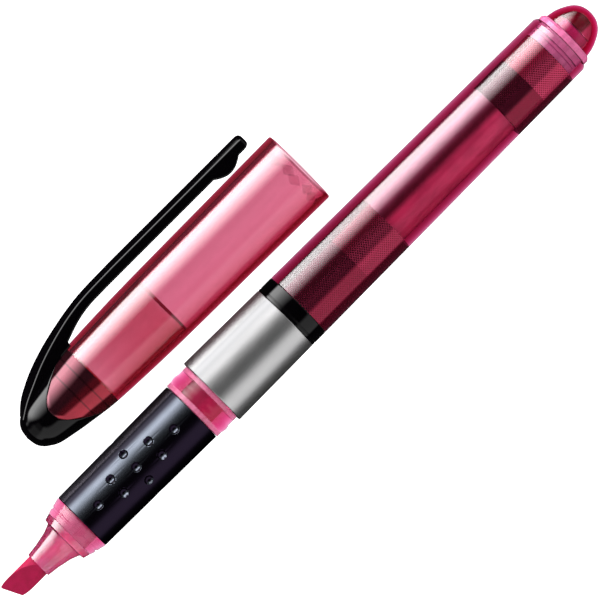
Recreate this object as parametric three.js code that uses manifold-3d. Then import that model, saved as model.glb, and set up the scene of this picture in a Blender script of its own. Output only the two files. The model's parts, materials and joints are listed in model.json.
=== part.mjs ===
// A liquid-ink highlighter with its cap off, lying beside the pen on a table.
// Millimetres, +Z up. The pen and the cap both lie along X: nib and closed end towards -X,
// tail and cap mouth towards +X, and the clip points to +Y. Each is built about its own
// axis, with its stations counted from its front tip, and then laid down on the table.
import * as THREE from "three";
import { mergeVertices } from "three/addons/utils/BufferGeometryUtils.js";
import Module from "manifold-3d";

const wasm = await Module();
wasm.setup();

// Fineness of the round pieces
const SIDES = 32;
const HIDDEN_SIDES = 24;

// Clearance between nested pieces, and beside a cut one
const GAP = 0.1;
const CUT_GAP = 0.3;

// Pen: stations along the axis, from the nib's tip
const HOLDER_FRONT = 6.45;
const FLANGE_FRONT = 12.15;
const SECTION_FRONT = 13.25;
const GRIP_FRONT = 15.9;
const GRIP_REAR = 39.75;
const BEAD_AT = 41.55;
const RING_FRONT = 44.1;
const RING_REAR = 60.1;
const BARREL_FRONT = 62.95;
const BARREL_REAR = 120.3;
const PEN_LENGTH = 126.8;

// Pen: radii
const NIB_R = 1.9;
const FLANGE_REAR_R = 4.46;
const WICK_R = 0.85;
const SECTION_BORE_R = 3.3;
const GRIP_BORE_R = 4.3;
const GRIP_FRONT_R = 5.15;
const GRIP_REAR_R = 5.4;
const NECK_R = 5.5;
const BEAD_R = 5.65;
const RING_FRONT_R = 6.08;
const RING_REAR_R = 5.92;
const RING_BORE_R = 5.55;
const BARREL_FRONT_R = 5.91;
const BARREL_REAR_R = 5.42;
const BARREL_BORE_R = 4.46;
const EDGE = 0.15;

// The nib's writing edge, skewed in plan, and the way the short bevel under it runs back
const NIB_EDGE_NEAR = [0, 1.35, -1];
const NIB_EDGE_FAR = [1.5, -1.7, -1];
const NIB_BEVEL_RUN = [2, 1, -1.3];

// Pen: outlines of [station, radius] points, from front to rear
const HOLDER_OUTLINE = [
  [HOLDER_FRONT, 2.2],
  [9.2, 2.62],
  [10.8, 3],
  [FLANGE_FRONT, 3.4],
  [FLANGE_FRONT, 4.2],
];
const SECTION_STEPS = [[SECTION_FRONT, 4.48], [14.2, 4.76], [15, 4.8]];
const DOME_OUTLINE = [[123.1, 4.1], [124.6, 3.45], [125.7, 2.7], [126.4, 1.8], [PEN_LENGTH, 0]];
const DOME_FRONT_R = 4.4;
const DOME_HOLLOW = [[124.4, 2.5], [125.6, 1.4], [125.8, 0]];
const DOME_HOLLOW_R = 3.3;

// Pen: the snap bead on the neck, from its foot to its flat top
const BEAD_FOOT = 0.7;
const BEAD_TOP = 0.25;

// Pen: what is inside
const NIB_REAR = 18.5;
const SPIGOT_REAR = 19.5;
const FEED_FRONT = 20;
const FEED_REAR = 66.8;
const FEED_CORE_R = 1.7;
const FIN_COUNT = 14;
const FIN_PITCH = 3.1;
const FIN_THICKNESS = 1.1;
const WICK_REAR = 80;
const TENON_REAR = 72;
const STOPPER_REAR = 73;
const INK_REAR = 112;
const SKIRT_FRONT = 117.5;
const SKIRT_DEPTH = 2;
const PLUG_REAR = 121.5;
const PLUG_FLANGE_R = 4.97;
const PLUG_CHAMFER = 0.38;
const BOSS_REAR = 123.3;
const BOSS_R = 2.8;
const SEAL_THICKNESS = 0.56;
const SECTION_SEAL_AT = 66;
const TAIL_SEAL_AT = 118.8;
const SEAL_GROOVE_R = 3.72;
const SEAL_GROOVE_LENGTH = 0.8;

// Grip dimples, in diamonds of nine spaced round the sleeve
const DIMPLE_BALL_R = 0.78;
const DIMPLE_DEPTH = 0.6;
const DIMPLE_GROUPS = 3;
const DIMPLE_PITCH = 4.1;
const DIMPLE_MIDDLE = 27.65;
const DIMPLE_STEP_DEG = 16;

// Cap: stations along its axis, from its closed tip
const CAP_LENGTH = 59.2;
const BORE_END = 13.9;
const SOCKET_END = 9.7;
const CUP_MOUTH = 29.3;
const CUP_FLOOR = 14.6;
const NUB_AT = 57.3;
const NUB_COUNT = 8;
const NUB_TURN_DEG = 37;
const MOUTH_EDGE = 0.25;
const CROWN_WALL = 1.1;
const NOSE_FRONT = 1.4;
const NOSE_FRONT_R = 2.9;
const CLIP_ROOT = 14.6;

// Cap: radii
const CAP_MOUTH_R = 6.54;
const CAP_MIDDLE_R = 6.26;
const BORE_MOUTH_R = 5.72;
const BORE_MIDDLE_R = 5.4;
const BORE_END_R = 5.05;
const SOCKET_R = 3.1;
const CUP_LIP_R = 4.87;
const CUP_BORE_R = 4.66;
const CUP_LIP_LENGTH = 0.9;
const NUB_R = 1;
const NUB_STANDOUT = 0.13;

// The seam between crown and shell, seen from above, is a bow that opens towards the mouth
const SEAM_APEX = 5.3;
const SEAM_BOW_CLIP_SIDE = 0.24;
const SEAM_BOW_FAR_SIDE = 0.2;

// Clip
const CLIP_WIDTH_ROOT = 4.8;
const CLIP_WIDTH_TIP = 3.8;
const CLIP_BACK_Y = 10.34;
const CLIP_FRONT_Y = 7.88;
const CLIP_STRAIGHT_FROM = 27.8;
const CLIP_TIP = 56.1;
const CLIP_TIP_ROUND = 1.1;
const HUMP_FRONT = 48.4;
const HUMP_AT = 51.1;
const HUMP_REAR = 53.8;
const HUMP_Y = 6.85;
const CLIP_JOIN_BACK_Y = 9.05;
const CLIP_JOIN_FRONT_Y = 6.3;

// Where the cap lies beside the pen
const CAP_TIP_AT = 19;
const CAP_BESIDE = 14.9;

const pink = new THREE.MeshStandardMaterial({ color: 0xd2557f, roughness: 0.15 });
const crimson = new THREE.MeshStandardMaterial({ color: 0xaf2850, roughness: 0.1 });
const mauve = new THREE.MeshStandardMaterial({ color: 0xcd607f, roughness: 0.12 });
const black = new THREE.MeshStandardMaterial({ color: 0x0a060c, roughness: 0.12 });
const rubber = new THREE.MeshStandardMaterial({ color: 0x1d1822, roughness: 0.45 });
const sealRubber = new THREE.MeshStandardMaterial({ color: 0x2a2a2c, roughness: 0.6 });
const sealSilicone = new THREE.MeshStandardMaterial({ color: 0xe4a4bc, roughness: 0.5 });
const metal = new THREE.MeshStandardMaterial({ color: 0xc4c6c6, roughness: 0.35, metalness: 1 });
const fibre = new THREE.MeshStandardMaterial({ color: 0xaa0f41, roughness: 0.8 });
const moulded = new THREE.MeshStandardMaterial({ color: 0xe6d6dc, roughness: 0.4 });
const ink = new THREE.MeshStandardMaterial({ color: 0x5a0a26, roughness: 0.05 });

// ---- Shared shape tools ----

// A body turned about X, from its outline of [station, radius] points
function turned(outline, sides = SIDES) {
  const points = outline.map(([station, radius]) => new THREE.Vector2(radius, station));
  return new THREE.LatheGeometry(points, sides).rotateZ(-Math.PI / 2);
}

// A sleeve: an outer and an inner line of [station, radius] points, both from front to rear
function sleeve(outer, inner, sides = SIDES) {
  return turned([...outer, ...inner.toReversed(), outer[0]], sides);
}

function solidFrom(geometry) {
  const bare = geometry.clone();
  bare.deleteAttribute("normal");
  bare.deleteAttribute("uv");
  const merged = mergeVertices(bare, 1e-5);
  const triVerts = new Uint32Array(merged.index.array);
  const vertProperties = new Float32Array(merged.attributes.position.array);
  return new wasm.Manifold(new wasm.Mesh({ numProp: 3, vertProperties, triVerts }));
}

function geometryFrom(solid) {
  const cut = solid.getMesh();
  const geometry = new THREE.BufferGeometry();
  geometry.setAttribute("position", new THREE.BufferAttribute(cut.vertProperties, 3));
  geometry.setIndex(new THREE.BufferAttribute(cut.triVerts, 1));
  geometry.computeVertexNormals();
  return geometry;
}

// A block that covers everything on the side of a plane that its normal points to
function blockBeyond(point, normal, size = 40) {
  const block = new THREE.BoxGeometry(size, size, size).translate(0, 0, size / 2);
  const turn = new THREE.Quaternion();
  turn.setFromUnitVectors(new THREE.Vector3(0, 0, 1), normal.clone().normalize());
  return block.applyQuaternion(turn).translate(point.x, point.y, point.z);
}

// A flat outline in X and Y, as thick as width, centred on Z = 0
function plate(shape, width, curveSegments = 6) {
  const options = { depth: width, bevelEnabled: false, curveSegments };
  return new THREE.ExtrudeGeometry(shape, options).translate(0, 0, -width / 2);
}

function place(parent, name, geometry, material) {
  const mesh = new THREE.Mesh(geometry, material);
  mesh.name = name;
  parent.add(mesh);
}

// ---- The pen ----

// The chisel: a long face slopes down to an edge that is skewed in plan, with a short bevel under it
function nib() {
  const rod = solidFrom(turned([[0, 0], [0, NIB_R], [NIB_REAR, NIB_R], [NIB_REAR, 0]]));
  const edgeNear = new THREE.Vector3(...NIB_EDGE_NEAR);
  const edgeFar = new THREE.Vector3(...NIB_EDGE_FAR);
  const faceTop = new THREE.Vector3(HOLDER_FRONT - GAP, 0, NIB_R);
  const edge = edgeFar.clone().sub(edgeNear);
  const faceNormal = edge.clone().cross(faceTop.clone().sub(edgeNear));
  const bevelNormal = new THREE.Vector3(...NIB_BEVEL_RUN).cross(edge);
  return geometryFrom(
    rod
      .subtract(solidFrom(blockBeyond(edgeNear, faceNormal)))
      .subtract(solidFrom(blockBeyond(edgeNear, bevelNormal))),
  );
}

function nibHolder() {
  const rear = SECTION_FRONT - GAP;
  const spigotR = SECTION_BORE_R - GAP;
  const outer = [...HOLDER_OUTLINE, [rear, FLANGE_REAR_R], [rear, spigotR], [SPIGOT_REAR, spigotR]];
  const bore = [[HOLDER_FRONT, NIB_R + GAP], [SPIGOT_REAR, NIB_R + GAP]];
  return sleeve(outer, bore);
}

function inkWick() {
  const front = NIB_REAR + GAP;
  return turned([[front, 0], [front, WICK_R], [WICK_REAR, WICK_R], [WICK_REAR, 0]], HIDDEN_SIDES);
}

function section() {
  const tenonR = BARREL_BORE_R - GAP;
  const grooveFront = SECTION_SEAL_AT - SEAL_GROOVE_LENGTH / 2;
  const grooveRear = SECTION_SEAL_AT + SEAL_GROOVE_LENGTH / 2;
  const outer = [
    ...SECTION_STEPS,
    [GRIP_FRONT - GAP, GRIP_FRONT_R],
    [GRIP_FRONT - GAP, GRIP_BORE_R - GAP],
    [GRIP_REAR + GAP, GRIP_BORE_R - GAP],
    [GRIP_REAR + GAP, NECK_R],
    [BEAD_AT - BEAD_FOOT, NECK_R],
    [BEAD_AT - BEAD_TOP, BEAD_R],
    [BEAD_AT + BEAD_TOP, BEAD_R],
    [BEAD_AT + BEAD_FOOT, NECK_R],
    [RING_FRONT - GAP, NECK_R],
    [RING_FRONT - GAP, RING_BORE_R - GAP],
    [RING_REAR - GAP, RING_BORE_R - GAP],
    [RING_REAR - GAP, tenonR],
    [grooveFront, tenonR],
    [grooveFront, SEAL_GROOVE_R],
    [grooveRear, SEAL_GROOVE_R],
    [grooveRear, tenonR],
    [TENON_REAR, tenonR],
  ];
  return sleeve(outer, [[SECTION_FRONT, SECTION_BORE_R], [TENON_REAR, SECTION_BORE_R]]);
}

function gripRadius(station) {
  const along = (station - GRIP_FRONT) / (GRIP_REAR - GRIP_FRONT);
  return THREE.MathUtils.lerp(GRIP_FRONT_R, GRIP_REAR_R, along);
}

// One diamond holds 1, 2, 3, 2 and 1 dimples in five rows
function dimplePlaces() {
  const places = [];
  for (let row = -2; row <= 2; row += 1) {
    const count = 3 - Math.abs(row);
    for (let i = 0; i < count; i += 1) {
      places.push({
        station: DIMPLE_MIDDLE + row * DIMPLE_PITCH,
        angle: (2 * i - (count - 1)) * DIMPLE_STEP_DEG,
      });
    }
  }
  return places;
}

function gripSleeve() {
  const outer = [
    [GRIP_FRONT, GRIP_FRONT_R - EDGE],
    [GRIP_FRONT + EDGE, GRIP_FRONT_R],
    [GRIP_REAR - EDGE, GRIP_REAR_R],
    [GRIP_REAR, GRIP_REAR_R - EDGE],
  ];
  let solid = solidFrom(sleeve(outer, [[GRIP_FRONT, GRIP_BORE_R], [GRIP_REAR, GRIP_BORE_R]]));
  for (let group = 0; group < DIMPLE_GROUPS; group += 1) {
    for (const { station, angle } of dimplePlaces()) {
      const lift = gripRadius(station) + DIMPLE_BALL_R - DIMPLE_DEPTH;
      const ball = new THREE.SphereGeometry(DIMPLE_BALL_R, 8, 6).translate(station, 0, lift);
      ball.rotateX(THREE.MathUtils.degToRad(angle + (group * 360) / DIMPLE_GROUPS));
      solid = solid.subtract(solidFrom(ball));
    }
  }
  return geometryFrom(solid);
}

function inkFeed() {
  const finR = SECTION_BORE_R - GAP;
  const outer = [[FEED_FRONT, FEED_CORE_R]];
  for (let fin = 0; fin < FIN_COUNT; fin += 1) {
    const front = FEED_FRONT + 1 + fin * FIN_PITCH;
    const rear = front + FIN_THICKNESS;
    outer.push([front, FEED_CORE_R], [front, finR], [rear, finR], [rear, FEED_CORE_R]);
  }
  outer.push([FEED_REAR, FEED_CORE_R]);
  const bore = [[FEED_FRONT, WICK_R + GAP], [FEED_REAR, WICK_R + GAP]];
  return sleeve(outer, bore, HIDDEN_SIDES);
}

function tankStopper() {
  const front = FEED_REAR + GAP;
  const outer = [
    [front, SECTION_BORE_R - GAP],
    [TENON_REAR + GAP, SECTION_BORE_R - GAP],
    [TENON_REAR + GAP, BARREL_BORE_R - GAP],
    [STOPPER_REAR, BARREL_BORE_R - GAP],
  ];
  return sleeve(outer, [[front, WICK_R + GAP], [STOPPER_REAR, WICK_R + GAP]]);
}

// An O-ring that sits in its groove, just clear of the groove's floor and of the barrel
function sealRing(station) {
  const middle = (SEAL_GROOVE_R + BARREL_BORE_R) / 2;
  const ringSides = 8;
  const outline = [];
  for (let i = 0; i <= ringSides; i += 1) {
    const angle = (-2 * Math.PI * (i % ringSides)) / ringSides;
    const half = SEAL_THICKNESS / 2;
    outline.push([station + half * Math.cos(angle), middle - half * Math.sin(angle)]);
  }
  return turned(outline.toReversed());
}

function metalRing() {
  const outer = [
    [RING_FRONT, RING_FRONT_R - EDGE],
    [RING_FRONT + EDGE, RING_FRONT_R],
    [RING_REAR - EDGE, RING_REAR_R],
    [RING_REAR, RING_REAR_R - EDGE],
  ];
  return sleeve(outer, [[RING_FRONT, RING_BORE_R], [RING_REAR, RING_BORE_R]]);
}

function blackRing() {
  const front = RING_REAR + GAP;
  const rear = BARREL_FRONT - GAP;
  const outer = [
    [front, RING_REAR_R - EDGE],
    [front + EDGE, RING_REAR_R],
    [rear - EDGE, RING_REAR_R],
    [rear, RING_REAR_R - EDGE],
  ];
  return sleeve(outer, [[front, BARREL_BORE_R], [rear, BARREL_BORE_R]]);
}

function barrel() {
  const outer = [
    [BARREL_FRONT, BARREL_FRONT_R - EDGE],
    [BARREL_FRONT + EDGE, BARREL_FRONT_R],
    [BARREL_REAR - 2 * EDGE, BARREL_REAR_R],
    [BARREL_REAR, BARREL_REAR_R - 2 * EDGE],
  ];
  return sleeve(outer, [[BARREL_FRONT, BARREL_BORE_R], [BARREL_REAR, BARREL_BORE_R]]);
}

// The ink fills the tank round the wick's end
function inkCharge() {
  const front = STOPPER_REAR + GAP;
  return turned([
    [WICK_REAR + GAP, 0],
    [WICK_REAR + GAP, WICK_R + GAP],
    [front, WICK_R + GAP],
    [front, BARREL_BORE_R - GAP],
    [INK_REAR, BARREL_BORE_R - GAP],
    [INK_REAR, 0],
  ]);
}

function tailPlug() {
  const skirtR = BARREL_BORE_R - GAP;
  const grooveFront = TAIL_SEAL_AT - SEAL_GROOVE_LENGTH / 2;
  const grooveRear = TAIL_SEAL_AT + SEAL_GROOVE_LENGTH / 2;
  return turned([
    [SKIRT_FRONT + SKIRT_DEPTH, 0],
    [SKIRT_FRONT + SKIRT_DEPTH, SECTION_BORE_R],
    [SKIRT_FRONT, SECTION_BORE_R],
    [SKIRT_FRONT, skirtR],
    [grooveFront, skirtR],
    [grooveFront, SEAL_GROOVE_R],
    [grooveRear, SEAL_GROOVE_R],
    [grooveRear, skirtR],
    [BARREL_REAR + GAP, skirtR],
    [BARREL_REAR + GAP, PLUG_FLANGE_R],
    [PLUG_REAR - PLUG_CHAMFER, PLUG_FLANGE_R],
    [PLUG_REAR, PLUG_FLANGE_R - PLUG_CHAMFER],
    [PLUG_REAR, BOSS_R],
    [BOSS_REAR - EDGE, BOSS_R],
    [BOSS_REAR, BOSS_R - EDGE],
    [BOSS_REAR, 0],
  ]);
}

function tailDome() {
  const front = PLUG_REAR + GAP;
  const hollow = [[front, DOME_HOLLOW_R], ...DOME_HOLLOW];
  return turned([...hollow.toReversed(), [front, DOME_FRONT_R], ...DOME_OUTLINE]);
}

// ---- The cap ----

const CAP_OUTLINE = [
  [0, 0],
  [0.25, 1.5],
  [0.8, 2.46],
  [1.6, 3.15],
  [3.15, 4],
  [6.2, 4.65],
  [9.3, 5.15],
  [13.9, 5.72],
  [21.6, 6.08],
  [CUP_MOUTH, CAP_MIDDLE_R],
  [CAP_LENGTH - MOUTH_EDGE, CAP_MOUTH_R],
  [CAP_LENGTH, CAP_MOUTH_R - MOUTH_EDGE],
];

const capSolid = () => solidFrom(turned([...CAP_OUTLINE, [CAP_LENGTH, 0]]));

// Everything on the mouth's side of the seam, shifted along X by clearance
function mouthSideOfSeam(clearance) {
  const reach = 9.6;
  const steps = 16;
  const shape = new THREE.Shape();
  for (let i = 0; i <= steps; i += 1) {
    const y = -reach + (2 * reach * i) / steps;
    const bow = y > 0 ? SEAM_BOW_CLIP_SIDE : SEAM_BOW_FAR_SIDE;
    const x = SEAM_APEX + clearance + bow * y * y;
    if (i === 0) shape.moveTo(x, y);
    else shape.lineTo(x, y);
  }
  shape.lineTo(CAP_LENGTH + 1, reach);
  shape.lineTo(CAP_LENGTH + 1, -reach);
  return solidFrom(plate(shape, 4 * CAP_MOUTH_R));
}

// The socket inside the crown that takes the shell's nose, eased by clearance
function noseSolid(clearance) {
  const inset = CROWN_WALL + clearance;
  const front = NOSE_FRONT + inset;
  const sides = CAP_OUTLINE.filter(([station]) => station > front && station <= BORE_END);
  const outline = sides.map(([station, radius]) => [station + clearance, radius - inset]);
  return solidFrom(turned([[front, 0], [front, NOSE_FRONT_R - inset], ...outline, [BORE_END, 0]]));
}

function snapNubs() {
  const nubs = [];
  for (let i = 0; i < NUB_COUNT; i += 1) {
    const ball = new THREE.SphereGeometry(NUB_R, 8, 6);
    ball.translate(NUB_AT, 0, BORE_MOUTH_R + NUB_R - NUB_STANDOUT);
    ball.rotateX(THREE.MathUtils.degToRad(NUB_TURN_DEG + (i * 360) / NUB_COUNT));
    nubs.push(solidFrom(ball));
  }
  return nubs;
}

function boreRadius(station) {
  const along = (station - CUP_MOUTH) / (CAP_LENGTH - CUP_MOUTH);
  return THREE.MathUtils.lerp(BORE_MIDDLE_R, BORE_MOUTH_R, along);
}

function capShell() {
  const bore = solidFrom(
    turned([
      [SOCKET_END, 0],
      [SOCKET_END, SOCKET_R],
      [BORE_END, SOCKET_R],
      [BORE_END, BORE_END_R],
      [CUP_MOUTH, BORE_MIDDLE_R],
      [CAP_LENGTH + 1, boreRadius(CAP_LENGTH + 1)],
      [CAP_LENGTH + 1, 0],
    ]),
  );
  let hollow = bore;
  for (const nub of snapNubs()) hollow = hollow.subtract(nub);
  return geometryFrom(
    capSolid().intersect(mouthSideOfSeam(CUT_GAP)).add(noseSolid(CUT_GAP)).subtract(hollow),
  );
}

function innerCup() {
  const outerR = (bore) => bore - GAP;
  const floorFront = BORE_END + GAP;
  return turned([
    [CUP_FLOOR, 0],
    [CUP_FLOOR, CUP_BORE_R - 0.3],
    [CUP_FLOOR + 0.3, CUP_BORE_R],
    [CUP_MOUTH - CUP_LIP_LENGTH, CUP_BORE_R],
    [CUP_MOUTH - CUP_LIP_LENGTH, CUP_LIP_R],
    [CUP_MOUTH, CUP_LIP_R],
    [CUP_MOUTH, outerR(BORE_MIDDLE_R)],
    [floorFront, outerR(BORE_END_R)],
    [floorFront, outerR(SOCKET_R)],
    [SOCKET_END + GAP, outerR(SOCKET_R)],
    [SOCKET_END + GAP, 0],
  ].toReversed());
}

// The clip's root rises out of the crown and stops short of the arm
function clipRoot() {
  const shape = new THREE.Shape();
  shape.moveTo(2.4, 1);
  shape.lineTo(1.5, 3.1);
  shape.quadraticCurveTo(5.5, 6.6, CLIP_ROOT, CLIP_JOIN_BACK_Y);
  shape.lineTo(CLIP_ROOT, CLIP_JOIN_FRONT_Y);
  shape.lineTo(11, 4.9);
  shape.lineTo(8, 1);
  return solidFrom(plate(shape, CLIP_WIDTH_ROOT));
}

function capCrown() {
  return geometryFrom(
    capSolid().add(clipRoot()).subtract(mouthSideOfSeam(0)).subtract(noseSolid(0)),
  );
}

function clipArm() {
  const root = CLIP_ROOT + CUT_GAP;
  const shape = new THREE.Shape();
  shape.moveTo(root, CLIP_JOIN_BACK_Y);
  shape.quadraticCurveTo(21.5, CLIP_BACK_Y, CLIP_STRAIGHT_FROM, CLIP_BACK_Y);
  shape.lineTo(CLIP_TIP - CLIP_TIP_ROUND, CLIP_BACK_Y);
  shape.quadraticCurveTo(CLIP_TIP, CLIP_BACK_Y, CLIP_TIP, CLIP_BACK_Y - CLIP_TIP_ROUND);
  shape.quadraticCurveTo(CLIP_TIP, CLIP_FRONT_Y, CLIP_TIP - CLIP_TIP_ROUND, CLIP_FRONT_Y);
  shape.lineTo(HUMP_REAR, CLIP_FRONT_Y);
  shape.quadraticCurveTo(HUMP_AT, HUMP_Y - 0.5, HUMP_FRONT, CLIP_FRONT_Y);
  shape.lineTo(CLIP_STRAIGHT_FROM, CLIP_FRONT_Y);
  shape.quadraticCurveTo(20.5, CLIP_FRONT_Y, root, CLIP_JOIN_FRONT_Y);
  const arm = plate(shape, CLIP_WIDTH_ROOT);
  const narrowing = CLIP_WIDTH_TIP / CLIP_WIDTH_ROOT - 1;
  const points = arm.attributes.position;
  for (let i = 0; i < points.count; i += 1) {
    const along = (points.getX(i) - root) / (CLIP_TIP - root);
    points.setZ(i, points.getZ(i) * (1 + narrowing * along));
  }
  return arm;
}

// ---- Assembly ----

// Lays a group about its axis down on the table, touching it under two stations.
// first is the station nearer the tip, and each is given as [station, radius].
function layDown(group, first, second) {
  const tilt = Math.atan2(first[1] - second[1], second[0] - first[0]);
  group.rotation.y = tilt;
  group.position.z = first[1] * Math.cos(tilt) + first[0] * Math.sin(tilt);
}

function buildPen() {
  const pen = new THREE.Group();
  place(pen, "nib", nib(), fibre);
  place(pen, "nib_holder", nibHolder(), pink);
  place(pen, "ink_wick", inkWick(), fibre);
  place(pen, "section", section(), pink);
  place(pen, "grip_sleeve", gripSleeve(), rubber);
  place(pen, "ink_feed", inkFeed(), moulded);
  place(pen, "tank_stopper", tankStopper(), moulded);
  place(pen, "section_seal", sealRing(SECTION_SEAL_AT), sealRubber);
  place(pen, "metal_ring", metalRing(), metal);
  place(pen, "black_ring", blackRing(), black);
  place(pen, "barrel", barrel(), crimson);
  place(pen, "ink_charge", inkCharge(), ink);
  place(pen, "tail_plug", tailPlug(), pink);
  place(pen, "tail_seal", sealRing(TAIL_SEAL_AT), sealSilicone);
  place(pen, "tail_dome", tailDome(), crimson);
  layDown(pen, [RING_FRONT + EDGE, RING_FRONT_R], [BARREL_REAR - 2 * EDGE, BARREL_REAR_R]);
  return pen;
}

function buildCap() {
  const cap = new THREE.Group();
  place(cap, "cap_shell", capShell(), mauve);
  place(cap, "inner_cup", innerCup(), moulded);
  place(cap, "cap_crown", capCrown(), black);
  place(cap, "clip_arm", clipArm(), black);
  layDown(cap, [CUP_MOUTH, CAP_MIDDLE_R], [CAP_LENGTH - MOUTH_EDGE, CAP_MOUTH_R]);
  cap.position.x = CAP_TIP_AT;
  cap.position.y = CAP_BESIDE;
  return cap;
}

// The origin is on the table, under the middle of the whole object
function stoodOnOrigin(object) {
  const box = new THREE.Box3().setFromObject(object, true);
  const middle = box.getCenter(new THREE.Vector3());
  object.position.set(-middle.x, -middle.y, -box.min.z);
  return object;
}

const highlighter = new THREE.Group();
highlighter.add(buildPen(), buildCap());

export default stoodOnOrigin(highlighter);
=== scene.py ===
"""The looks of a liquid-ink highlighter and its cap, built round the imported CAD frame.

The round pieces are turned from outlines of (station, radius) corners in millimetres. Stations
count from the pen's nib tip or from the cap's closed tip, along that group's own axis, as the
CAD model counts them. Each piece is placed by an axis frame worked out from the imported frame.
"""

import json
import math

import bmesh
import bpy
import numpy as np
from mathutils import Matrix, Vector


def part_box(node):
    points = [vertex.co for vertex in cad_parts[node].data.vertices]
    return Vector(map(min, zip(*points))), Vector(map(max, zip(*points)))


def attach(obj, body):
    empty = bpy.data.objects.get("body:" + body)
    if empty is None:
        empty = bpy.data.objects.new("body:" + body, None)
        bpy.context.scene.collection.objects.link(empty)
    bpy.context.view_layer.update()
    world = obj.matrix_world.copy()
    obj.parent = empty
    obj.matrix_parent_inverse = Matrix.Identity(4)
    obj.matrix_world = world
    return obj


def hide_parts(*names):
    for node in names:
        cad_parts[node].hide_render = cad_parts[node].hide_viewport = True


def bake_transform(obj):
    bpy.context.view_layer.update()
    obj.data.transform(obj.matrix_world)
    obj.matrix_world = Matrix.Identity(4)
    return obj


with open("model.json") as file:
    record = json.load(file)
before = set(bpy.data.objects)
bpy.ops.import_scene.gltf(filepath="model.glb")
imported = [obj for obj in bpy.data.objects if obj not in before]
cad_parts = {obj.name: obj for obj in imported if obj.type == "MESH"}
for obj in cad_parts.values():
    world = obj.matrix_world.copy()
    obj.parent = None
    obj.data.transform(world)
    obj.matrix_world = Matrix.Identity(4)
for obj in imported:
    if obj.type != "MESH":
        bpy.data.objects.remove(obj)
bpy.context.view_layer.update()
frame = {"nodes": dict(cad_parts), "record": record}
RECORD = frame["record"]

MM = 0.001
SIDES = 128
SWEPT_SIDES = 160
GRIP_SIDES = 416
ARC_STEPS = 5
SHARP_ANGLE = math.radians(38)
PLACE = "place_mm"

# Pen stations and radii, in millimetres from the nib's tip
NIB_R = 1.9
NIB_REAR = 18.5
HOLDER_FRONT = 6.45
SPIGOT_REAR = 19.5
SECTION_FRONT = 13.25
SECTION_BORE_R = 3.3
GRIP_FRONT = 15.9
GRIP_REAR = 39.75
GRIP_FRONT_R = 5.15
GRIP_REAR_R = 5.4
GRIP_BORE_R = 4.3
NECK_R = 5.5
BEAD_R = 5.65
BEAD_AT = 41.55
NECK_MIDDLE = 41.95
RING_FRONT = 44.1
RING_REAR = 60.1
RING_FRONT_R = 6.08
RING_REAR_R = 5.92
RING_BORE_R = 5.55
BARREL_FRONT = 62.95
BARREL_REAR = 120.3
BARREL_FRONT_R = 5.91
BARREL_REAR_R = 5.42
BARREL_BORE_R = 4.46
SECTION_TUBE_R = 4.2
RING_SEAT_R = 5.44
TENON_R = 4.36
TENON_REAR = 72
STOPPER_REAR = 73
WICK_R = 0.85
WICK_REAR = 80
INK_REAR = 112
SKIRT_FRONT = 117.5
PLUG_REAR = 121.5
BOSS_REAR = 123.3
SECTION_SEAL = (65.6, 66.4)
TAIL_SEAL = (118.4, 119.2)
SEAL_GROOVE_R = 3.72
SKIRT_R = 4.38
PLUG_FLANGE_R = 4.97
GAP = 0.1

# Grip dimples, in diamonds of nine spaced round the sleeve
DIMPLE_R = 0.76
DIMPLE_DEPTH = 0.6
DIMPLE_GROUPS = 3
DIMPLE_PITCH = 4.1
DIMPLE_MIDDLE = 27.65
DIMPLE_STEP = math.radians(16)

# Cap stations and radii, in millimetres from the closed tip
CAP_LENGTH = 59.2
CAP_MOUTH_R = 6.54
CAP_OUTLINE = [
    (0, 0), (0.25, 1.5), (0.8, 2.46), (1.6, 3.15), (3.15, 4.0), (6.2, 4.65), (9.3, 5.15),
    (13.9, 5.72), (21.6, 6.08), (29.3, 6.26), (44, 6.4), (CAP_LENGTH, CAP_MOUTH_R),
]
BORE_END = 13.9
BORE_END_R = 5.05
BORE_MIDDLE = 29.3
BORE_MIDDLE_R = 5.4
BORE_MOUTH_R = 5.72
SOCKET_END = 9.7
SOCKET_R = 3.1
CUP_FLOOR = 14.3
CUP_BORE_R = 4.66
CUP_LIP_R = 4.87
CUP_LIP_LENGTH = 0.9
CUP_LINE = 0.4
NUB_AT = 57.3
NUB_COUNT = 8
NUB_TURN = math.radians(37)
NUB_HALF_LENGTH = 1.1
NUB_HALF_ANGLE = math.radians(16)
NUB_STANDOUT = 0.22
SOLID_END = 14.05
PAST_SKIN = 9
SEAM_APEX = 5.3
SEAM_BOW_CLIP_SIDE = 0.24
SEAM_BOW_FAR_SIDE = 0.2
SEAM_GAP = 0.06
SEAM_ROUNDS = 30
CROWN_WALL = 1.1
SHELL_NECK_GAP = 0.12
NOSE_FRONT = 2.5

# Clip: the side view's lines as (station, distance from the cap's axis)
CLIP_BACK = [
    (1.2, 2.9), (3.15, 4.7), (5, 5.85), (7.8, 7.15), (11.6, 8.4), (15.5, 9.3),
    (18.5, 9.83), (22, 10.2), (27.8, 10.34),
]
CLIP_SHOULDER = [
    (1.2, 2.3), (3.6, 3.77), (6.2, 5.0), (9.3, 6.35), (12.4, 7.4), (15.5, 8.25),
    (18.5, 8.85), (22, 9.22), (27.8, 9.36),
]
CLIP_FRONT = [(14.9, 6.1), (17, 6.85), (18.5, 7.3), (20.1, 7.62), (22, 7.82), (25, 7.88)]
CLIP_START = 1.6
CLIP_TIP = 56.1
CLIP_TIP_ROUND = 1.1
CLIP_HALF_ROOT = 2.4
CLIP_HALF_TIP = 1.9
CLIP_NARROWS_FROM = 15
CLIP_TIP_POWER = 2.6
CLIP_TIP_BLUNT = 0.2
CLIP_RIDGE = ([8, 20], [0.15, 0.42])
CLIP_EDGE_ROUND = 0.4
SADDLE_FROM = 12.6
SADDLE_GAP = 0.03
HUMP_FRONT = 48.4
HUMP_AT = 51.1
HUMP_REAR = 53.8
HUMP_DEPTH = 1.1


# ---- Frames ----


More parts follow.
